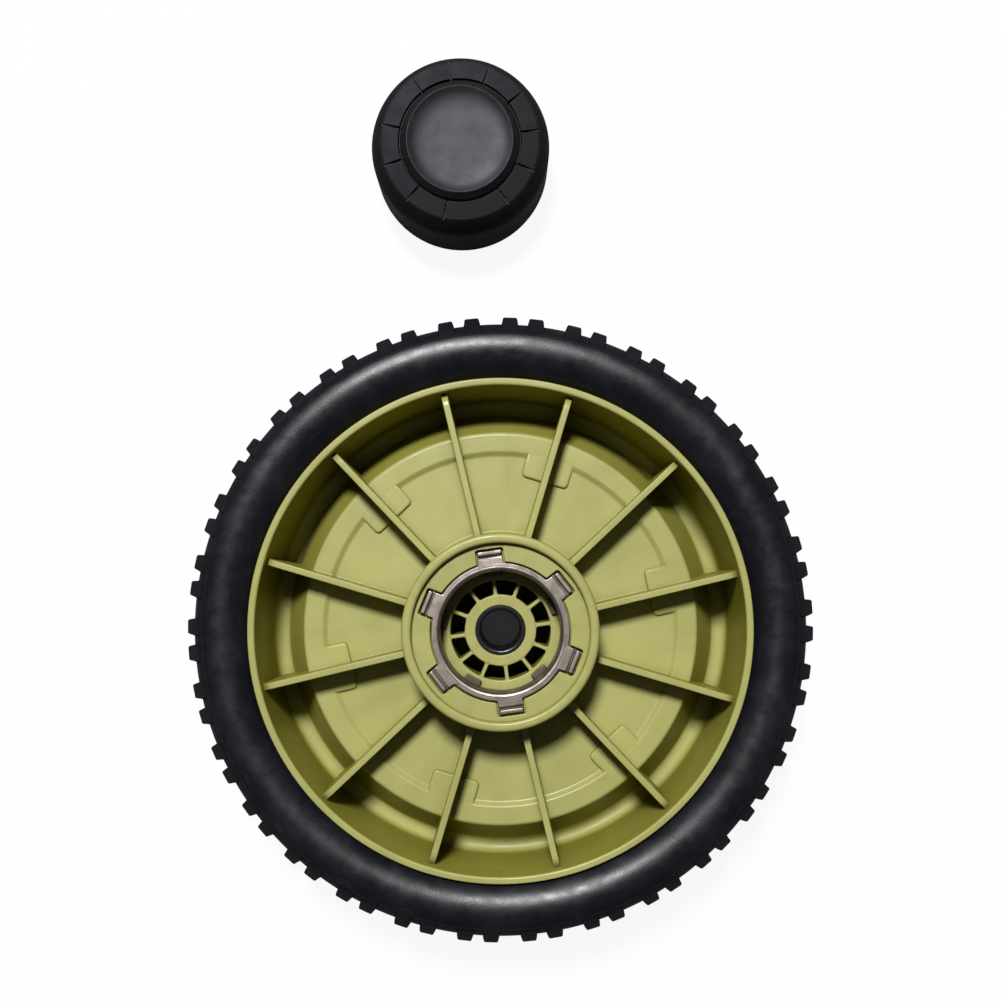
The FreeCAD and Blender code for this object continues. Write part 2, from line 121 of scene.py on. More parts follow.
def rounded(points, steps=4):
    """Replaces each corner (x, y, radius) of a closed outline by an arc of that radius."""
    line = []
    for index, (x, y, radius) in enumerate(points):
        corner = Vector((x, y))
        if radius <= 0:
            line.append(corner)
            continue
        back = (Vector(points[index - 1][:2]) - corner).normalized()
        ahead = (Vector(points[(index + 1) % len(points)][:2]) - corner).normalized()
        half = back.angle(ahead) / 2
        centre = corner + (back + ahead).normalized() * radius / math.sin(half)
        start = corner + back * radius / math.tan(half) - centre
        turn = start.angle_signed(corner + ahead * radius / math.tan(half) - centre)
        for step in range(steps + 1):
            spoke = start.copy()
            spoke.rotate(Matrix.Rotation(-turn * step / steps, 2))
            line.append(centre + spoke)
    return line


def bow(start, end, radius, steps):
    """Points of an arc that bows to the right of the way from start to end, without its last point."""
    start, end = Vector(start), Vector(end)
    chord = end - start
    right = Vector((chord.y, -chord.x)).normalized()
    centre = (start + end) / 2 - right * math.sqrt(radius**2 - (chord.length / 2) ** 2)
    spread = (start - centre).angle_signed(end - centre)
    points = []
    for step in range(steps):
        spoke = start - centre
        spoke.rotate(Matrix.Rotation(-spread * step / steps, 2))
        points.append(centre + spoke)
    return points


def on_circle(radius, start, end, steps):
    """Outline points along a circle, both ends included."""
    angles = [math.radians(start + (end - start) * step / steps) for step in range(steps + 1)]
    return [(radius * math.cos(angle), radius * math.sin(angle), 0) for angle in angles]


def full_circle(radius, count):
    """Points of (x, y) all round a circle."""
    return [point[:2] for point in on_circle(radius, 0, 360 - 360 / count, count - 1)]


def turned(points, angle):
    """Outline points turned about the axle."""
    turn = Matrix.Rotation(math.radians(angle), 2)
    return [(*(turn @ Vector(point[:2])), point[2]) for point in points]


def even(start, count):
    """Angles that divide the full turn evenly."""
    return [start + 360 / count * index for index in range(count)]


# Meshes

def place_round(radius, angle, height):
    """A place in metres, from a radius and a height in millimetres and an angle in radians."""
    return (radius * math.cos(angle) * MM, radius * math.sin(angle) * MM, height * MM)


def span_rows(mesh, rows, loop):
    """Spans faces between closed rows of points: in a loop back to the first row, or with capped ends."""
    following = rows[1:] + rows[:1] if loop else rows[1:]
    for first, second in zip(rows, following):
        for index in range(len(first)):
            after = (index + 1) % len(first)
            mesh.faces.new((first[index], first[after], second[after], second[index]))
    if not loop:
        mesh.faces.new(rows[0])
        mesh.faces.new(rows[-1])


def to_mesh(name, mesh, keep_sides=False):
    """Turns a bmesh into mesh data, with normals that point outwards unless its sides are kept."""
    if not keep_sides:
        bmesh.ops.recalc_face_normals(mesh, faces=mesh.faces)
    data = bpy.data.meshes.new(name)
    mesh.to_mesh(data)
    mesh.free()
    return data


def lathe(name, line, segments):
    """Spins a closed line of (radius, height) round the axle."""
    mesh = bmesh.new()
    angles = [math.tau * step / segments for step in range(segments)]
    rings = []
    for radius, height in line:
        rings.append([mesh.verts.new(place_round(radius, angle, height)) for angle in angles])
    span_rows(mesh, rings, loop=True)
    bmesh.ops.remove_doubles(mesh, verts=mesh.verts, dist=SAME_POINT)
    return to_mesh(name, mesh)


def plate(name, outlines, low, high, edge):
    """Fills flat outlines, holes included, between two heights and rounds the edges."""
    curve = bpy.data.curves.new(name, "CURVE")
    curve.dimensions = "2D"
    curve.fill_mode = "BOTH"
    curve.bevel_depth = edge * MM
    curve.bevel_resolution = 2
    curve.offset = -edge * MM
    curve.extrude = ((high - low) / 2 - edge) * MM
    for outline in outlines:
        spline = curve.splines.new("POLY")
        spline.points.add(len(outline) - 1)
        for point, place in zip(spline.points, outline):
            point.co = (place[0] * MM, place[1] * MM, 0, 1)
        spline.use_cyclic_u = True
    holder = bpy.data.objects.new(name, curve)
    bpy.context.collection.objects.link(holder)
    depsgraph = bpy.context.evaluated_depsgraph_get()
    data = bpy.data.meshes.new_from_object(holder.evaluated_get(depsgraph))
    bpy.data.objects.remove(holder)
    bpy.data.curves.remove(curve)
    data.transform(Matrix.Translation((0, 0, (low + high) / 2 * MM)))
    mesh = bmesh.new()
    mesh.from_mesh(data)
    bpy.data.meshes.remove(data)
    bmesh.ops.remove_doubles(mesh, verts=mesh.verts, dist=SAME_POINT)
    return to_mesh(name, mesh)


def bevelled(name, mesh, edge, segments):
    """Bevels all edges of a closed bmesh and turns it into mesh data."""
    bmesh.ops.recalc_face_normals(mesh, faces=mesh.faces)
    bmesh.ops.bevel(
        mesh, geom=mesh.edges[:], offset=edge * MM, segments=segments, profile=0.5, affect="EDGES",
    )
    return to_mesh(name, mesh)


def gather(name, meshes):
    """Joins meshes into one and removes the loose ones."""
    joined = bmesh.new()
    for data in meshes:
        joined.from_mesh(data)
        bpy.data.meshes.remove(data)
    return to_mesh(name, joined, keep_sides=True)


def round_the_axle(data, angles):
    """Copies a mesh to each angle round the axle, and joins the copies."""
    copies = []
    for angle in angles:
        copy = data.copy()
        copy.transform(Matrix.Rotation(math.radians(angle), 4, "Z"))
        copies.append(copy)
    name = data.name
    bpy.data.meshes.remove(data)
    return gather(name, copies)


def fillet_flare(distance, radius):
    """How far a concave fillet stands out at a distance from the wall that it runs into."""
    short = min(max(1 - distance / radius, 0), 1)
    return radius * (1 - math.sqrt(1 - short * short))


def rib(name, stations, floor, top, walls, half, draft, fillet, crown):
    """A drafted rib along +X. Its sides flare into the floor and the two walls, and its top is rounded."""
    foot_shares = [0, 0.06, 0.15, 0.3, 0.5, 0.75, 1.0]
    side_shares = [0.25, 0.5, 0.75, 1.0]
    crown_steps = 3
    inner, outer = walls
    mesh = bmesh.new()
    rows = []
    for radius in stations:
        base = floor(radius)
        ridge = top(radius)
        levels = [base + fillet * share for share in foot_shares]
        levels += [base + fillet + (ridge - crown - base - fillet) * share for share in side_shares]
        side = []
        for level in levels:
            width = half + draft * (ridge - level) + fillet_flare(level - base, fillet)
            width += fillet_flare(radius - inner(level), fillet)
            width += fillet_flare(outer(level) - radius, fillet)
            side.append((width, level))
        edge = side[-1][0]
        for step in range(1, crown_steps + 1):
            angle = math.radians(90 * step / crown_steps)
            side.append((edge - crown + crown * math.cos(angle), ridge - crown + crown * math.sin(angle)))
        section = [(-width, level) for width, level in side] + side[::-1]
        rows.append([mesh.verts.new((radius * MM, width * MM, level * MM)) for width, level in section])
    span_rows(mesh, rows, loop=False)
    return to_mesh(name, mesh)


def add_piece(data, material, replaced=None, sharp=38):
    """Puts a mesh into the scene as a piece of the wheel."""
    data.shade_smooth()
    data.set_sharp_from_angle(angle=math.radians(sharp))
    data.materials.append(material)
    piece = bpy.data.objects.new(data.name, data)
    bpy.context.collection.objects.link(piece)
    flats = piece.modifiers.new("flats", "WEIGHTED_NORMAL")
    flats.keep_sharp = True
    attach(piece, BODY)
    if replaced:
        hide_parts(replaced)


# Materials

class Finish:
    """One material with helpers that add and link its nodes."""

    def __init__(self, name):
        self.material = bpy.data.materials.new(name)
        self.material.use_nodes = True
        self.tree = self.material.node_tree
        self.shader = self.tree.nodes["Principled BSDF"]
        self.place = self.node("ShaderNodeTexCoord").outputs["Object"]

    def node(self, kind, **settings):
        """Adds a node with the given settings."""
        node = self.tree.nodes.new(kind)
        for name, value in settings.items():
            setattr(node, name, value)
        return node

    def feed(self, socket, value):
        """Sets a socket to a number or colour, or links another socket to it."""
        if isinstance(value, bpy.types.NodeSocket):
            self.tree.links.new(value, socket)
        else:
            socket.default_value = value

    def maths(self, operation, first, second=0.0):
        """One step of arithmetic."""
        node = self.node("ShaderNodeMath", operation=operation)
        self.feed(node.inputs[0], first)
        self.feed(node.inputs[1], second)
        return node.outputs[0]

    def parts(self, vector):
        """The outputs X, Y and Z of a vector."""
        node = self.node("ShaderNodeSeparateXYZ")
        self.feed(node.inputs[0], vector)
        return node.outputs

    def radius(self):
        """The distance from the piece's own Z axis, which is the axle."""
        x, y, _ = self.parts(self.place)
        square = self.maths("ADD", self.maths("MULTIPLY", x, x), self.maths("MULTIPLY", y, y))
        return self.maths("SQRT", square)

    def polar(self, around, out, up):
        """The place measured round, out from and along the axle, so that marks follow the turning."""
        x, y, z = self.parts(self.place)
        merge = self.node("ShaderNodeCombineXYZ")
        self.feed(merge.inputs[0], self.maths("MULTIPLY", self.maths("ARCTAN2", y, x), around))
        self.feed(merge.inputs[1], self.maths("MULTIPLY", self.radius(), out))
        self.feed(merge.inputs[2], self.maths("MULTIPLY", z, up))
        return merge.outputs[0]

    def stretched(self, scale):
        """The place on the piece, scaled along X, Y and Z."""
        node = self.node("ShaderNodeMapping")
        self.feed(node.inputs["Vector"], self.place)
        node.inputs["Scale"].default_value = scale
        return node.outputs["Vector"]

    def noise(self, scale, detail, roughness=0.55, place=None):
        """Cloudy noise from 0 to 1, with a scale in clouds to the metre unless a place is given."""
        node = self.node("ShaderNodeTexNoise")
        self.feed(node.inputs["Vector"], place or self.place)
        node.inputs["Scale"].default_value = scale
        node.inputs["Detail"].default_value = detail
        node.inputs["Roughness"].default_value = roughness
        return node.outputs["Fac"]

    def spread(self, value, low, high, to_low, to_high):
        """Maps a value from one range to another and clamps it."""
        node = self.node("ShaderNodeMapRange")
        self.feed(node.inputs["Value"], value)
        node.inputs["From Min"].default_value = low
        node.inputs["From Max"].default_value = high
        node.inputs["To Min"].default_value = to_low
        node.inputs["To Max"].default_value = to_high
        return node.outputs["Result"]

    def mix(self, share, first, second):
        """Goes from the first colour to the second; the sockets are those of a mix of colours."""
        node = self.node("ShaderNodeMix", data_type="RGBA")
        self.feed(node.inputs[0], share)
        self.feed(node.inputs[6], first)
        self.feed(node.inputs[7], second)
        return node.outputs[2]

    def crevice(self, distance):
        """1 in the open, falling towards 0 in corners."""
        node = self.node("ShaderNodeAmbientOcclusion", samples=4)
        node.inputs["Distance"].default_value = distance
        return node.outputs["AO"]

    def bump(self, height, strength, distance, below=None):
        """A normal from a height, on top of another normal if one is given."""
        node = self.node("ShaderNodeBump")
        self.feed(node.inputs["Height"], height)
        node.inputs["Strength"].default_value = strength
        node.inputs["Distance"].default_value = distance
        if below:
            self.feed(node.inputs["Normal"], below)
        return node.outputs["Normal"]

    def shaded(self, **sockets):
        """Feeds the shader's sockets by name, with _ for a space."""
        for name, value in sockets.items():
            self.feed(self.shader.inputs[name.replace("_", " ")], value)
        return self.material


def shade(base, factor=1.0):
    """A base colour made darker or lighter, as a colour with alpha."""
    return (*(part * factor for part in base), 1.0)


def green_plastic(base):
    """Moulded olive plastic: cloudy pigment, flow marks and specks, with painted shade on steep walls, in
    deep recesses and in the corners.
    """
    # Colours of painted shade: on steep walls, in deep recesses and in corners
    wall_shade_tint = (0.32, 0.3, 0.03, 1)
    recess_shade_tint = (0.16, 0.14, 0.015, 1)
    corner_shade_tint = (0.15, 0.135, 0.02, 1)
    finish = Finish("green_plastic")
    clouds = finish.spread(finish.noise(scale=38, detail=5), 0.35, 0.65, 0, 1)
    turning = finish.polar(around=5, out=34, up=60)
    flow = finish.spread(finish.noise(scale=1, detail=3, place=turning), 0.4, 0.62, 0, 0.5)
    specks = finish.spread(finish.noise(scale=900, detail=2), 0.66, 0.74, 0, 0.2)
    tone = finish.mix(clouds, shade(base, 0.93), shade(base, 1.05))
    tone = finish.mix(flow, tone, shade(base, 1.14))
    tone = finish.mix(specks, tone, shade(base, 0.62))

    normal = finish.node("ShaderNodeNewGeometry").outputs["Normal"]
    steep = finish.spread(finish.maths("ABSOLUTE", finish.parts(normal)["Z"]), 0.35, 0.85, 1, 0)
    # Painted shade: steep walls are darkened and made more olive.
    tone = finish.mix(finish.maths("MULTIPLY", steep, 0.8), tone, wall_shade_tint)
    # Painted shade: deep recesses, found by occlusion over 18 mm, are darkened, most on steep walls. The
    # same mask also roughens them.
    deep = finish.spread(finish.crevice(18 * MM), 0.1, 0.55, 0.65, 0)
    recess_shade = finish.maths("MULTIPLY", deep, finish.spread(steep, 0, 1, 0.3, 1))
    tone = finish.mix(recess_shade, tone, recess_shade_tint)
    # Painted shade: a dark line in the corners at the feet of ribs and steps.
    corner_shade = finish.spread(finish.crevice(4.5 * MM), 0.25, 0.8, 0.45, 0)
    tone = finish.mix(corner_shade, tone, corner_shade_tint)

    gloss = finish.spread(finish.noise(scale=160, detail=4), 0.3, 0.7, 0.27, 0.4)
    gloss = finish.maths("ADD", gloss, finish.maths("MULTIPLY", deep, 0.7))
    shine = finish.spread(steep, 0, 1, 0.45, 0.12)
    skin = finish.bump(finish.noise(scale=2600, detail=2), strength=0.1, distance=0.2 * MM)
    waves = finish.bump(finish.noise(scale=55, detail=2), strength=0.12, distance=0.8 * MM, below=skin)
    return finish.shaded(Base_Color=tone, Roughness=gloss, Normal=waves, Specular_IOR_Level=shine)


def tyre_rubber(base):
    """Moulded tyre: blue-black, with a mottled bloom, scuffs that run round it and a dull tread."""
    scuff_tint = (0.03, 0.03, 0.036, 1)
    dust_and_shade_tint = (0.012, 0.011, 0.010, 1)
    finish = Finish("tyre_rubber")
    bloom = finish.spread(finish.noise(scale=70, detail=6, roughness=0.62), 0.42, 0.68, 0, 1)
    turning = finish.polar(around=9, out=260, up=200)
    scuffs = finish.spread(finish.noise(scale=1, detail=5, place=turning), 0.6, 0.72, 0, 0.4)
    # Dust in the tyre's crevices, a little lighter and browner than the rubber.
    dust_and_shade = finish.spread(finish.crevice(3 * MM), 0.2, 0.7, 0.35, 0)
    tone = finish.mix(bloom, shade(base, 0.75), shade(base, 1.35))
    tone = finish.mix(scuffs, tone, scuff_tint)
    tone = finish.mix(dust_and_shade, tone, dust_and_shade_tint)

    patchy = finish.spread(finish.noise(scale=240, detail=4), 0.3, 0.7, -0.06, 0.06)
    gloss = finish.maths("ADD", finish.spread(bloom, 0, 1, 0.33, 0.41), patchy)
    worn = finish.spread(finish.radius(), 93.8 * MM, 95.6 * MM, 0, 1)
    gloss = finish.maths("MAXIMUM", gloss, finish.maths("MULTIPLY", worn, 0.75))
    shine = finish.spread(worn, 0, 1, 0.48, 0.1)
    skin = finish.bump(finish.noise(scale=1500, detail=3), strength=0.1, distance=0.3 * MM)
    dents = finish.bump(finish.noise(scale=90, detail=2), strength=0.12, distance=0.8 * MM, below=skin)
    return finish.shaded(Base_Color=tone, Roughness=gloss, Normal=dents, Specular_IOR_Level=shine)


def ring_steel(base):
    """Plated pressed steel: turning marks, worn bright patches, brown grease and painted shade on the skirt
    below the flange.
    """
    grease_tint = (0.05, 0.032, 0.018, 1)
    skirt_shade_tint = (0.09, 0.068, 0.05, 1)
    finish = Finish("ring_steel")
    turning = finish.polar(around=4, out=1500, up=1500)
    marks = finish.noise(scale=1, detail=4, place=turning)
    patches = finish.spread(finish.noise(scale=190, detail=5), 0.4, 0.64, 0, 1)
    grease = finish.spread(finish.crevice(2.2 * MM), 0.3, 0.85, 0.9, 0)
    # Painted shade: the skirt that goes down into the hub is darkened below the flange.
    below_flange = finish.spread(finish.parts(finish.place)["Z"], 22.5 * MM, 25.5 * MM, 0.8, 0)
    tone = finish.mix(patches, shade(base, 0.62), shade(base, 1.25))
    tone = finish.mix(finish.spread(marks, 0.45, 0.7, 0, 0.35), tone, shade(base, 0.5))
    tone = finish.mix(grease, tone, grease_tint)
    tone = finish.mix(below_flange, tone, skirt_shade_tint)
    gloss = finish.spread(patches, 0, 1, 0.5, 0.36)
    gloss = finish.maths("ADD", gloss, finish.spread(grease, 0, 1, 0, 0.2))
    skin = finish.bump(marks, strength=0.12, distance=0.2 * MM)
    return finish.shaded(Base_Color=tone, Roughness=gloss, Normal=skin, Metallic=1.0)


def bush_plastic(base):
    """Dark sleeve: bore marks that run round it and a film of grease."""
    finish = Finish("bush_plastic")
    turning = finish.polar(around=2, out=900, up=900)
    marks = finish.noise(scale=1, detail=3, place=turning)
    film = finish.spread(finish.noise(scale=320, detail=4), 0.4, 0.65, 0, 1)
    tone = finish.mix(film, shade(base, 0.8), shade(base, 1.5))
    gloss = finish.spread(film, 0, 1, 0.32, 0.2)
    skin = finish.bump(marks, strength=0.15, distance=0.2 * MM)
    return finish.shaded(Base_Color=tone, Roughness=gloss, Normal=skin)


def cap_plastic(name, base, smooth, rough, shine, grain):
    """Black moulding with rubbed patches and painted shade in its grooves, from smooth to rough in places.
    """
    dust_and_shade_tint = (0.004, 0.0036, 0.004, 1)
    sheen_tint = (0.92, 0.9, 1.0, 1)
    finish = Finish(name)
    rub = finish.spread(finish.noise(scale=150, detail=6, roughness=0.6), 0.42, 0.7, 0, 1)
    wiped = finish.stretched((60, 420, 60))
    wipes = finish.spread(finish.noise(scale=1, detail=4, place=wiped), 0.5, 0.72, 0, 0.5)
    # Painted shade: grooves and notches are darkened towards black by occlusion.
    dust_and_shade = finish.spread(finish.crevice(1.5 * MM), 0.3, 0.8, 0.8, 0)
    tone = finish.mix(rub, shade(base, 0.85), shade(base, 1.25))
    tone = finish.mix(wipes, tone, shade(base, 1.6))
    tone = finish.mix(dust_and_shade, tone, dust_and_shade_tint)
    gloss = finish.spread(rub, 0, 1, smooth, rough)
    skin = finish.bump(finish.noise(scale=1900, detail=2), strength=grain, distance=0.3 * MM)
    return finish.shaded(
        Base_Color=tone, Roughness=gloss, Normal=skin, Specular_IOR_Level=shine, Specular_Tint=sheen_tint,
    )


def floor_paper(base):
    """White paper: it shows as white, takes the wheel's shadow and stays dark below the hub's holes."""
    glow_strength, glow_in_mirrors = 1.05, 0.3
    finish = Finish("floor_paper")
    fibres = finish.spread(finish.noise(scale=400, detail=4), 0.3, 0.7, 0.97, 1.0)
    tone = finish.mix(fibres, shade(base, 0.97), shade(base))
    glow = finish.node("ShaderNodeEmission")
    glow.inputs["Strength"].default_value = glow_strength
    seen = finish.node("ShaderNodeLightPath")
    mirrored = finish.maths("MAXIMUM", seen.outputs["Is Glossy Ray"], seen.outputs["Is Transmission Ray"])
    mirrored = finish.maths("MULTIPLY", mirrored, glow_in_mirrors)
    straight = finish.maths("MAXIMUM", seen.outputs["Is Camera Ray"], mirrored)
    reach = finish.radius()
    open_floor = finish.spread(reach, 60 * MM, 90 * MM, 0.015, 0.88)
    far_floor = finish.spread(reach, 600 * MM, 3000 * MM, 0, 0.12)
    share = finish.maths("MULTIPLY", straight, finish.maths("ADD", open_floor, far_floor))
    blend = finish.node("ShaderNodeMixShader")
    finish.feed(blend.inputs[0], share)
    finish.feed(blend.inputs[1], finish.shader.outputs[0])
    finish.feed(blend.inputs[2], glow.outputs[0])
    finish.feed(finish.tree.nodes["Material Output"].inputs["Surface"], blend.outputs[0])
    return finish.shaded(Base_Color=tone, Roughness=0.9, Specular_IOR_Level=0.1)


# Sizes and colours

def length(name, description, millimetres):
    """A size that a user can change."""
    return FloatProperty(name=name, description=description, default=millimetres * MM, unit="LENGTH")


def tint(name, description, value):
    """A colour that a user can change."""
    return FloatVectorProperty(
        name=name, description=description, default=value, subtype="COLOR", min=0, max=1,
    )


class WheelSizes(bpy.types.PropertyGroup):
    """Sizes of the wheel that a user would change."""
    tyre_radius: length("Tyre radius", "From the axle to the tips of the tread", TYRE_HIGH.x / MM)
    tyre_width: length("Tyre width", "Between the crests of the sidewalls", (TYRE_HIGH.z - TYRE_LOW.z) / MM)
    tread_depth: length("Tread depth", "Height of the tread blocks", 2.2)
    tread_pairs: IntProperty(name="Tread pairs", description="Pairs of blocks in each row", default=30)
    rib_count: IntProperty(name="Ribs", description="Ribs between hub and barrel", default=12)
    rib_wall: length("Rib wall", "Thickness of a rib at its top", 2.1)
    tongue_width: length("Tongue width", "Width of the tongues of the raised ring", 15.8)
    tab_count: IntProperty(name="Tabs", description="Tabs of the steel ring", default=6)
    tab_width: length("Tab width", "Width of a tab of the steel ring", 7.9)
    axle_radius: length("Axle radius", "Radius of the bore for the axle", 6.4)
    cap_radius: length("Cap radius", "Outer radius of the hub cap", (CAP_HIGH.x - CAP_LOW.x) / 2 / MM)


class WheelColours(bpy.types.PropertyGroup):
    """Base colours of the wheel's materials."""
    plastic: tint("Rim", "Olive plastic of the rim", (0.45, 0.44, 0.15))
    rubber: tint("Tyre", "Rubber of the tyre", (0.0078, 0.0084, 0.0125))
    steel: tint("Drive ring", "Plated steel of the drive ring", (0.43, 0.375, 0.33))
    bush: tint("Bush", "Plastic of the sleeve in the bore", (0.012, 0.0108, 0.014))
    cap: tint("Hub cap", "Plastic of the hub cap", (0.011, 0.0098, 0.0115))
    floor: tint("Floor", "Paper that the wheel lies on", (0.6, 0.6, 0.6))


# Operators

class BuildTyre(bpy.types.Operator):
    """Builds the tyre with its two rows of paired tread blocks"""
    bl_idname = "wheel.build_tyre"
    bl_label = "Tyre"

    def execute(self, context):
        sizes = context.scene.wheel_sizes
        rubber = tyre_rubber(context.scene.wheel_colours.rubber)
        tip = sizes.tyre_radius / MM
        floor = tip - sizes.tread_depth / MM
        outline = self.outline(floor, sizes.tyre_width / MM / 2)
        add_piece(lathe("tyre_carcass", outline, segments=288), rubber, "tyre", sharp=30)
        add_piece(self.tread(tip, floor, sizes.tread_pairs), rubber, sharp=40)
        return {"FINISHED"}

    def outline(self, floor, half):
        """The carcass as (radius, height): a sidewall, the tread's floor, the other sidewall and the key."""
        seat = RIM_SEAT + TYRE_FIT
        crest, wall_curve, wall_end = 90.5, 12.0, 95.0
        shoulder, shoulder_curve = 12.6, 14.0
        seam_half, seam_crest, seam_rise = 0.35, 0.12, 0.18
        key_radius = GROOVE_FLOOR + TYRE_FIT
        key_half, key_root = GROOVE_HALF - TYRE_FIT, GROOVE_MOUTH - TYRE_FIT

        def bulge(radius):
            return half - wall_curve + math.sqrt(wall_curve**2 - (radius - crest) ** 2)

        line = bow((seat, -bulge(seat)), (wall_end, -bulge(wall_end)), wall_curve, steps=28)
        line += bow((wall_end, -bulge(wall_end)), (floor, -shoulder), shoulder_curve, steps=12)
        line += [(floor, -shoulder), (floor, -seam_half), (floor + seam_rise, -seam_crest)]
        line += [(floor + seam_rise, seam_crest), (floor, seam_half)]
        line += bow((floor, shoulder), (wall_end, bulge(wall_end)), shoulder_curve, steps=12)
        line += bow((wall_end, bulge(wall_end)), (seat, bulge(seat)), wall_curve, steps=28)
        line += [(seat, bulge(seat)), (seat, key_root), (key_radius, key_half)]
        line += [(key_radius, -key_half), (seat, -key_root)]
        return line

    def tread(self, tip, floor, pairs):
        """Two rows of blocks in pairs, the lower row mirrored and half a pitch further on."""
        beside = 2.45
        half_pitch = 180 / pairs
        upper = self.block(tip, floor)
        lower = upper.copy()
        lower.transform(Matrix.Scale(-1, 4, (0, 0, 1)))
        lower.flip_normals()
        angles = [middle + side for middle in even(TREAD_START, pairs) for side in (-beside, beside)]
        rows = [
            round_the_axle(upper, angles),
            round_the_axle(lower, [angle + half_pitch for angle in angles]),
        ]
        return gather("tyre_tread", rows)

    def block(self, tip, floor):
        """One block along +X: flat tip, drafted sides and an end that slopes down the shoulder."""
        root, root_half = 94.5, 2.8
        foot_half, draft, least_step = 2.65, 0.4, 0.6
        height_and_crown = [(1.5, tip), (13.5, tip), (17.2, 98.9), (20.6, 96.3)]
        mesh = bmesh.new()
        rows = []
        for height, crown in height_and_crown:
            fullness = min(max((crown - floor) / (tip - floor), 0), 1)
            foot = min(floor, crown - least_step)
            side = [(root, root_half), (foot, foot_half), (crown, foot_half - draft * fullness)]
            section = [(x, -y) for x, y in side] + side[::-1]
            rows.append([mesh.verts.new((x * MM, y * MM, height * MM)) for x, y in section])
        span_rows(mesh, rows, loop=False)
        return bevelled("tread_block", mesh, edge=0.42, segments=2)


class BuildRim(bpy.types.Operator):
    """Builds the rim: barrel, channel, web, ribs, tongues and hub"""
    bl_idname = "wheel.build_rim"
    bl_label = "Rim"

    def execute(self, context):
        tongues, spokes = 6, 12
        sizes = context.scene.wheel_sizes
        plastic = green_plastic(context.scene.wheel_colours.plastic)
        outline = rounded(self.outline(), steps=5)
        add_piece(lathe("rim_body", outline, segments=240), plastic, "rim", sharp=30)
        main_rib = self.main_rib(sizes.rib_wall / MM / 2)
        add_piece(round_the_axle(main_rib, even(RIB_START, sizes.rib_count)), plastic, sharp=40)
        tongue = self.tongue(sizes.tongue_width / MM / 2)
        add_piece(round_the_axle(tongue, even(RIB_START, tongues)), plastic)
        add_piece(round_the_axle(self.hub_spoke(), even(SPOKE_START, spokes)), plastic)
        add_piece(self.hub_face(sizes.tab_width / MM / 2, sizes.tab_count), plastic)
        return {"FINISHED"}

    def outline(self):
        """The rim as (radius, height, round): inwards over its upper side and outwards under it."""
        barrel = [(RIM_SEAT, RIM_EDGE, 0.5), (BARREL_INSIDE, RIM_EDGE, 0.8)]
        channel = [(CHANNEL_OUTER, CHANNEL_FLOOR, 3.0), (CHANNEL_INNER, CHANNEL_FLOOR, 2.2)]
        web = [(RAISED_OUTER, RAISED_TOP, 1.4), (RAISED_INNER, RAISED_TOP, 1.2), (WEB_OUTER, WEB_TOP, 1.2)]
        lip = [(HUB_FOOT, WEB_TOP, 0.9), (HUB_TOP, LIP_TOP, 1.25), (LIP_INSIDE, LIP_TOP, 1.1)]
        seat = [(LIP_INSIDE, NOTCH_FLOOR, 0), (HUB_BORE, NOTCH_FLOOR, 0.2), (HUB_BORE, LEDGE, 0.3)]
        core = [(CORE_OUTER, LEDGE, 0.5), (CORE_OUTER, CORE_FLOOR, 0.8), (TUBE_OUTER, CORE_FLOOR, 0.6)]
        tube = [(TUBE_OUTER, LEDGE, 0.5), (TUBE_BORE, LEDGE, 0.35)]
        tube += [(TUBE_BORE, TUBE_FOOT, 0.3), (TUBE_OUTER, TUBE_FOOT, 0.4)]
        upper_side = barrel + channel + web + lip + seat + core + tube

        under_core, under_ledge, under_seat = -8.0, 11.0, 24.0
        under_web, under_raised, under_channel = 3.7, 4.9, -12.1
        core_skin, ledge_skin, raised_skin, slope_skin = 19.0, 23.6, 57.8, 63.0
        boss_inside, boss_outside, boss_foot, boss_top = 25.2, 27.8, -6.0, 5.0
        channel_inside, channel_outside = 70.8, 77.6
        hub = [(TUBE_OUTER, under_core, 0.4), (core_skin, under_core, 0.5), (core_skin, under_ledge, 0.6)]
        hub += [(ledge_skin, under_ledge, 0.6), (ledge_skin, under_seat, 0.8)]
        hub += [(LIP_INSIDE, under_seat, 0.8), (LIP_INSIDE, WEB_TOP, 0.5)]
        boss = [(boss_inside, boss_top, 0.3), (boss_inside, boss_foot, 0.6), (boss_outside, boss_foot, 0.6)]
        web = [(boss_outside, under_web, 0.8), (raised_skin, under_web, 0.3)]
        web += [(raised_skin, under_raised, 0.3), (slope_skin, under_raised, 1.5)]
        channel = [(channel_inside, under_channel, 2.0), (channel_outside, under_channel, 1.5)]
        barrel = [(BARREL_INSIDE, -RIM_EDGE, 0.8), (RIM_SEAT, -RIM_EDGE, 0.5)]
        groove = [(RIM_SEAT, -GROOVE_MOUTH, 0), (GROOVE_FLOOR, -GROOVE_HALF, 0)]
        groove += [(GROOVE_FLOOR, GROOVE_HALF, 0), (RIM_SEAT, GROOVE_MOUTH, 0)]
        return upper_side + hub + boss + web + channel + barrel + groove

    def main_rib(self, half):
        """One rib from the hub over the web and the channel to the barrel."""
        fall_start, fall = 74.5, 0.15
        hub_foot, hub_lean = 31.6, 0.8
        barrel_foot, barrel_lean, barrel_low = 76.8, 1.8, -9.5

        def floor(radius):
            if radius < (WEB_OUTER + RAISED_INNER) / 2:
                return WEB_TOP
            if radius < RAISED_OUTER:
                return RAISED_TOP
            if radius < CHANNEL_INNER:
                share = (radius - RAISED_OUTER) / (CHANNEL_INNER - RAISED_OUTER)
                return RAISED_TOP - share * (RAISED_TOP - CHANNEL_FLOOR)
            return CHANNEL_FLOOR

        def top(radius):
            return RIB_TOP - max(radius - fall_start, 0) ** 2 * fall

        def hub(level):
            return hub_foot - hub_lean * (level - WEB_TOP) / (LIP_TOP - WEB_TOP)

        def barrel(level):
            return barrel_foot + barrel_lean * (level - barrel_low) / (RIM_EDGE - barrel_low)

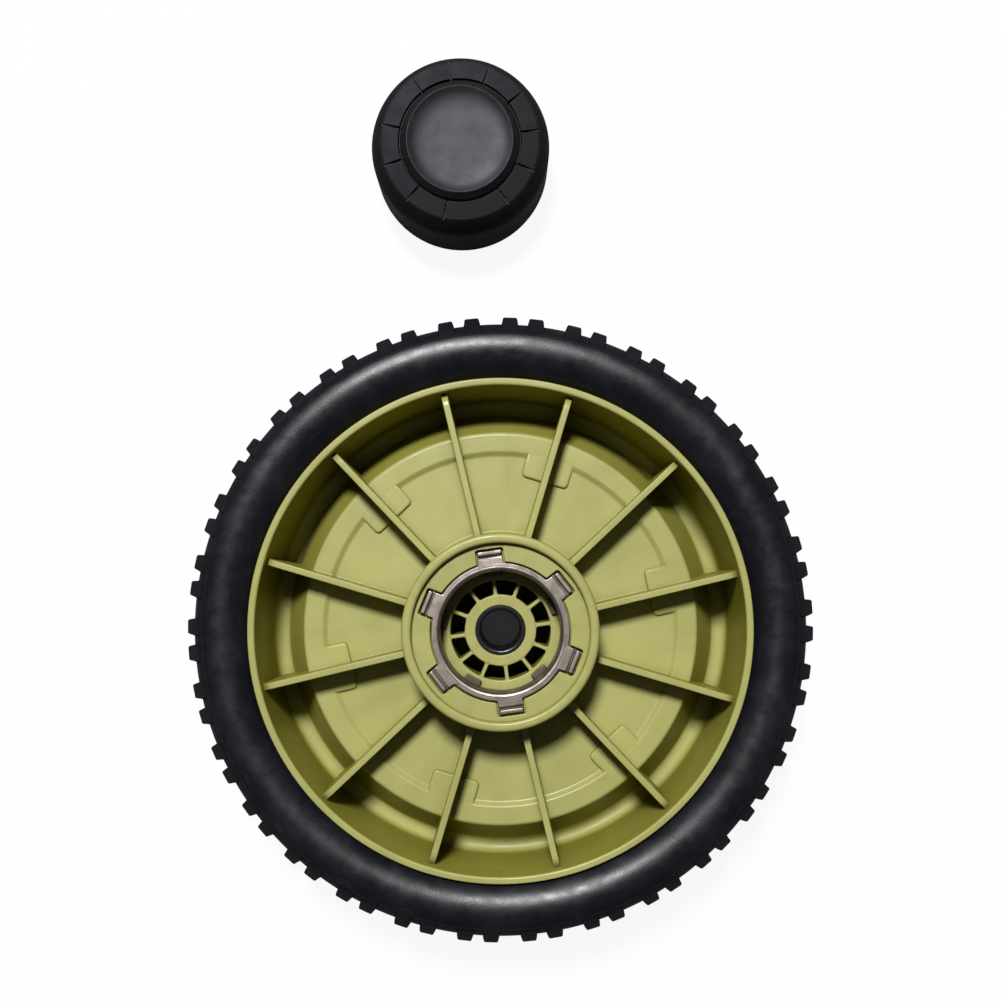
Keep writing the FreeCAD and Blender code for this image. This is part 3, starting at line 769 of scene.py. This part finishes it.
        # The stations are close together at the hub, the steps of the floor and the barrel.
        stations = [29.6, 30.6, 30.9, 31.2, 31.5, 31.9, 32.4, 33.4, 37, 42, 47, 52, 56, 57.6, 57.9, 60, 63]
        stations += [64.4, 64.8, 66, 67.5, 69, 70.5, 72, 72.8, 74, 75, 75.7, 76.2, 76.7, 77.1, 77.5]
        stations += [77.9, 78.3, 78.9]
        return rib(
            "rim_ribs", stations, floor, top, (hub, barrel), half, draft=0.008, fillet=0.25, crown=0.35,
        )

    def tongue(self, half):
        """One tongue that reaches inwards from the raised ring, a hair lower than the ring."""
        root, end, foot, top = 60.0, 50.3, 4.6, RAISED_TOP - 0.04
        outline = rounded([(root, -half, 0), (root, half, 0), (end, half, 1.5), (end, -half, 1.5)])
        return plate("rim_tongues", [outline], foot, top, edge=0.8)

    def hub_spoke(self):
        """One thin spoke between the axle tube and the core."""
        top = LEDGE - 0.3
        stations = [11.0, 11.6, 11.8, 12.1, 12.6, 13.9, 15.2, 15.7, 16.0, 16.2, 16.8]
        walls = (lambda level: TUBE_OUTER, lambda level: CORE_OUTER)
        return rib(
            "hub_spokes", stations, lambda radius: CORE_FLOOR, lambda radius: top, walls,
            half=0.6, draft=0.004, fillet=0.5, crown=0.3,
        )

    def hub_face(self, tab_half, tab_count):
        """The hub's face, with a notch for each tab of the steel ring. It is sunk a little into the lip."""
        inner, end, corner = 22.2, 26.4, 2.5
        clearance, sunk_down, sunk_out = 0.5, 0.2, 0.4
        notch = tab_half + clearance
        mouth = math.sqrt(inner**2 - notch**2)
        spread = math.degrees(math.asin(notch / inner)) + corner
        edge = []
        for angle in even(TAB_START, tab_count):
            bay = [(mouth, -notch, 0.5), (end, -notch, 0.8), (end, notch, 0.8), (mouth, notch, 0.5)]
            edge += turned(bay, angle)
            edge += on_circle(inner, angle + spread, angle + 360 / tab_count - spread, steps=10)
        outlines = [full_circle(LIP_INSIDE + sunk_out, count=144), rounded(edge)[::-1]]
        return plate("hub_face", outlines, NOTCH_FLOOR - sunk_down, FACE_TOP, edge=0.3)


class BuildDriveRing(bpy.types.Operator):
    """Builds the pressed steel ring with its tabs, skirt and feet"""
    bl_idname = "wheel.build_drive_ring"
    bl_label = "Drive ring"

    def execute(self, context):
        sizes = context.scene.wheel_sizes
        steel = ring_steel(context.scene.wheel_colours.steel)
        half = sizes.tab_width / MM / 2
        angles = even(TAB_START, sizes.tab_count)
        parts = [*self.sheets(angles, half), self.lips(angles, half), self.skirt(), self.feet()]
        add_piece(gather("drive_ring_pressing", parts), steel, "drive_ring")
        return {"FINISHED"}

    def sheets(self, angles, half):
        """The tabs, which lie in the notches, and the flange above their roots."""
        hole_radius, tab_reach, flange_reach = 20.3, 25.9, 23.6
        tab_top, flange_low, flange_top = 25.8, 25.6, 26.5
        hole = full_circle(hole_radius, count=120)[::-1]
        tabs = [self.tabbed(angles, half, tab_reach), hole]
        flange = [self.tabbed(angles, half, flange_reach), hole]
        return [
            plate("ring_tabs", tabs, NOTCH_FLOOR, tab_top, edge=0.15),
            plate("ring_flange", flange, flange_low, flange_top, edge=0.22),
        ]

    def tabbed(self, angles, half, reach):
        """The flange's outer outline with one tab at each angle."""
        flange, corner = 21.8, 2.4
        root = math.sqrt(flange**2 - half**2)
        spread = math.degrees(math.asin(half / flange)) + corner
        line = []
        for angle in angles:
            tab = [(root, -half, 0.55), (reach, -half, 0.5), (reach, half, 0.5), (root, half, 0.55)]
            line += turned(tab, angle)
            line += on_circle(flange, angle + spread, angle + 360 / len(angles) - spread, steps=12)
        return rounded(line)

    def lips(self, angles, half):
        """The raised bar at the end of each tab."""
        start, end, low, high, inset = 24.3, 25.85, 25.3, 26.8, 0.1
        side = half - inset
        bar = [(start, -side), (end, -side), (end, side), (start, side)]
        mesh = bmesh.new()
        rows = []
        for height in (low, high):
            rows.append([mesh.verts.new((x * MM, y * MM, height * MM)) for x, y in bar])
        span_rows(mesh, rows, loop=False)
        return round_the_axle(bevelled("ring_lips", mesh, edge=0.42, segments=3), angles)

    def skirt(self):
        """The collar that goes down from the flange to the ledge in the hub."""
        inside, outside, top_outside = 19.2, 20.7, 20.75
        shoulder, top = 25.8, 26.55
        collar = [(inside, LEDGE, 0.3), (outside, LEDGE, 0.3), (outside, shoulder, 0)]
        collar += [(top_outside, top, 0.2), (inside, top, 1.15)]
        return lathe("ring_skirt", rounded(collar, steps=6), segments=192)

    def feet(self):
        """The small feet that turn inwards on the ledge."""
        count, sheet = 5, 1.2
        end, root, half = 17.2, 19.7, 2.8
        outline = rounded([(end, -half, 0.6), (root, -half, 0), (root, half, 0), (end, half, 0.6)])
        foot = plate("ring_feet", [outline], LEDGE, LEDGE + sheet, edge=0.25)
        return round_the_axle(foot, even(FOOT_START, count))


class BuildAxleBush(bpy.types.Operator):
    """Builds the sleeve in the axle tube"""
    bl_idname = "wheel.build_axle_bush"
    bl_label = "Axle bush"

    def execute(self, context):
        bore = context.scene.wheel_sizes.axle_radius / MM
        clearance, set_back = 0.05, 0.8
        outside = TUBE_BORE - clearance
        low, high = TUBE_FOOT + set_back, LEDGE - set_back
        section = [(outside, low, 0.2), (outside, high, 0.25), (bore, high, 0.8), (bore, low, 0.8)]
        plastic = bush_plastic(context.scene.wheel_colours.bush)
        sleeve = lathe("axle_sleeve", rounded(section), segments=128)
        add_piece(sleeve, plastic, "axle_bush", sharp=40)
        return {"FINISHED"}


class BuildHubCap(bpy.types.Operator):
    """Builds the hub cap that lies beside the wheel"""
    bl_idname = "wheel.build_hub_cap"
    bl_label = "Hub cap"

    def execute(self, context):
        polish_radius, skirt_radius = 18.8, 26.6
        base = context.scene.wheel_colours.cap
        grain = cap_plastic("cap_grain", base, smooth=0.5, rough=0.64, shine=0.16, grain=0.16)
        polish = cap_plastic("cap_polish", base, smooth=0.37, rough=0.42, shine=0.17, grain=0.05)
        skirt = cap_plastic("cap_skirt", base, smooth=0.7, rough=0.8, shine=0.06, grain=0.16)
        data = self.notched(self.outline(context.scene.wheel_sizes.cap_radius / MM))
        middle = (CAP_LOW + CAP_HIGH) / 2
        data.transform(Matrix.Translation((middle.x, middle.y, CAP_LOW.z)))
        add_piece(data, grain, "hub_cap", sharp=32)
        data.materials.append(polish)
        data.materials.append(skirt)
        for face in data.polygons:
            distance = (face.center.xy - middle.xy).length
            if distance < polish_radius * MM and face.center.z > 0:
                face.material_index = 1
            elif distance > skirt_radius * MM:
                face.material_index = 2
        return {"FINISHED"}

    def outline(self, radius):
        """The cap as (radius, height): skirt, shoulder, ring, groove, crest, dish and inside."""
        axis = 0.001
        skirt_top, skirt_wall = 19.0, 2.0
        ring_radius, ring_edge, ring_top = 26.2, 26.0, 26.8
        groove_outer, groove_inner, groove_draft, groove_floor = 20.5, 19.7, 0.1, 25.8
        crest_radius, crest = 17.7, 28.4
        dish_radius, dish_floor, dish_depth, dish_power = 17.6, 27.5, 0.9, 6
        dish_shares = (0.96, 0.92, 0.88, 0.84, 0.78, 0.7, 0.6, 0.45, 0.25, 0.001)
        ceiling, inside_shoulder, inside_ring = 23.8, 24.2, 24.0
        shoulder = bow((radius, skirt_top), (ring_radius, ring_edge), radius=12, steps=10)
        outside = [(radius, 0, 0.5)]
        outside += [(*point, 0) for point in shoulder]
        outside += [(ring_radius, ring_edge, 0.5), (groove_outer, ring_top, 0.25)]
        outside += [(groove_outer - groove_draft, groove_floor, 0.2)]
        outside += [(groove_inner + groove_draft, groove_floor, 0.2)]
        outside += [(groove_inner, ring_top, 0.25), (crest_radius, crest, 0.45)]
        for share in dish_shares:
            outside.append((share * dish_radius, dish_floor + dish_depth * share**dish_power, 0))
        inside = [(axis, ceiling, 0), (groove_inner, ceiling, 0.6), (inside_shoulder, inside_ring, 0.8)]
        inside += [(radius - skirt_wall, skirt_top, 1.0), (radius - skirt_wall, 0, 0.4)]
        return rounded(outside + inside)

    def notched(self, line):
        """Spins the cap's section and sinks a narrow cut across its ring at each notch."""
        half, ramp, room, floor = 0.75, 0.22, 0.5, 25.5
        ring_inside, ring_outside, ring_low = 20.0, 28.0, 25.0
        columns_round, same_point = 144, 5e-6
        # The notches stand at one pitch in two runs, with a wider gap between the runs.
        pitch, long_run, short_run = 30, 308, 168
        notches = [long_run + pitch * index for index in range(7)]
        notches += [short_run + pitch * index for index in range(4)]

        def nearest(angle):
            return min(abs((angle - notch + 180) % 360 - 180) for notch in notches)

        angles = {angle for angle in even(0, columns_round) if nearest(angle) > half + ramp + room}
        for notch in notches:
            angles.update((notch + side) % 360 for side in (-half - ramp, -half, half, half + ramp))
        mesh = bmesh.new()
        columns = []
        for angle in sorted(angles):
            cut = nearest(angle) < half + ramp / 2
            column = []
            for radius, height in line:
                if cut and ring_inside < radius < ring_outside and height > ring_low:
                    height = min(height, floor)
                column.append(mesh.verts.new(place_round(radius, math.radians(angle), height)))
            columns.append(column)
        span_rows(mesh, columns, loop=True)
        bmesh.ops.remove_doubles(mesh, verts=mesh.verts, dist=same_point)
        return to_mesh("hub_cap_moulding", mesh)


class BuildStage(bpy.types.Operator):
    """Lays the floor and sets the light, the sky and the camera"""
    bl_idname = "wheel.build_stage"
    bl_label = "Stage"

    def execute(self, context):
        context.scene.view_settings.view_transform = "Standard"
        self.lay_floor(context)
        self.hang_lamp(context)
        self.light_sky(context.scene)
        self.set_camera(context)
        return {"FINISHED"}

    def lay_floor(self, context):
        """A wide sheet of paper under the wheel."""
        reach = 40.0
        mesh = bmesh.new()
        bmesh.ops.create_grid(mesh, x_segments=1, y_segments=1, size=reach)
        floor = bpy.data.objects.new("floor", to_mesh("floor", mesh))
        floor.location.z = CAD_BOX[0][2]
        floor.data.materials.append(floor_paper(context.scene.wheel_colours.floor))
        context.collection.objects.link(floor)

    def hang_lamp(self, context):
        """A round soft light that faces the wheel, with its place and size in metres."""
        place, size, power = Vector((-0.258, 1.116, 2.11)), 0.44, 58
        light = bpy.data.lights.new("key_light", "AREA")
        light.shape = "DISK"
        light.size = size
        light.energy = power
        lamp = bpy.data.objects.new("key_light", light)
        lamp.location = place
        lamp.rotation_euler = (-place).to_track_quat("-Z", "Y").to_euler()
        context.collection.objects.link(lamp)

    def light_sky(self, scene):
        """A sky that is white where the camera sees it, and that lights the wheel only a little."""
        fill = 0.03
        white = (1, 1, 1, 1)
        extra = (("Is Camera Ray", 1 - fill), ("Is Glossy Ray", fill), ("Is Transmission Ray", fill))
        world = bpy.data.worlds.new("studio")
        world.use_nodes = True
        tree = world.node_tree
        sky = tree.nodes["Background"]
        sky.inputs["Color"].default_value = white
        seen = tree.nodes.new("ShaderNodeLightPath")
        level = sky.inputs["Strength"]
        for ray, share in extra:
            add = tree.nodes.new("ShaderNodeMath")
            add.operation = "MULTIPLY_ADD"
            add.inputs[1].default_value = share
            add.inputs[2].default_value = fill
            tree.links.new(seen.outputs[ray], add.inputs[0])
            tree.links.new(add.outputs[0], level)
            level = add.inputs[2]
        scene.world = world

    def set_camera(self, context):
        """A camera that looks straight down, shifted as the photograph's frame is."""
        # In pixels: the frame's side, the focal length and how far below the middle the camera's axis is
        frame_side, focal_length, axis_drop = 1001, 1254, 64.5
        sensor, place = 36, (0, 0.0211, 0.4205)
        camera = bpy.data.cameras.new("camera")
        camera.sensor_width = sensor
        camera.lens = sensor * focal_length / frame_side
        camera.shift_y = axis_drop / frame_side
        viewer = bpy.data.objects.new("camera", camera)
        viewer.location = place
        context.collection.objects.link(viewer)
        context.scene.camera = viewer


class WheelPanel(bpy.types.Panel):
    """Sizes, colours and build steps of the wheel"""
    bl_idname = "VIEW3D_PT_wheel"
    bl_label = "Mower wheel"
    bl_space_type = "VIEW_3D"
    bl_region_type = "UI"
    bl_category = "Mower wheel"

    def draw(self, context):
        for group in (context.scene.wheel_sizes, context.scene.wheel_colours):
            column = self.layout.column(align=True)
            for name in group.bl_rna.properties.keys():
                if name not in ("rna_type", "name"):
                    column.prop(group, name)
        for operator in STEPS:
            self.layout.operator(operator.bl_idname)


STEPS = (BuildTyre, BuildRim, BuildDriveRing, BuildAxleBush, BuildHubCap, BuildStage)
CLASSES = (WheelSizes, WheelColours, *STEPS, WheelPanel)


def register():
    for item in CLASSES:
        bpy.utils.register_class(item)
    bpy.types.Scene.wheel_sizes = PointerProperty(type=WheelSizes)
    bpy.types.Scene.wheel_colours = PointerProperty(type=WheelColours)


def unregister():
    del bpy.types.Scene.wheel_colours
    del bpy.types.Scene.wheel_sizes
    for item in reversed(CLASSES):
        bpy.utils.unregister_class(item)


def main():
    register()
    bpy.ops.wheel.build_tyre()
    bpy.ops.wheel.build_rim()
    bpy.ops.wheel.build_drive_ring()
    bpy.ops.wheel.build_axle_bush()
    bpy.ops.wheel.build_hub_cap()
    bpy.ops.wheel.build_stage()


if __name__ == "__main__":
    main()
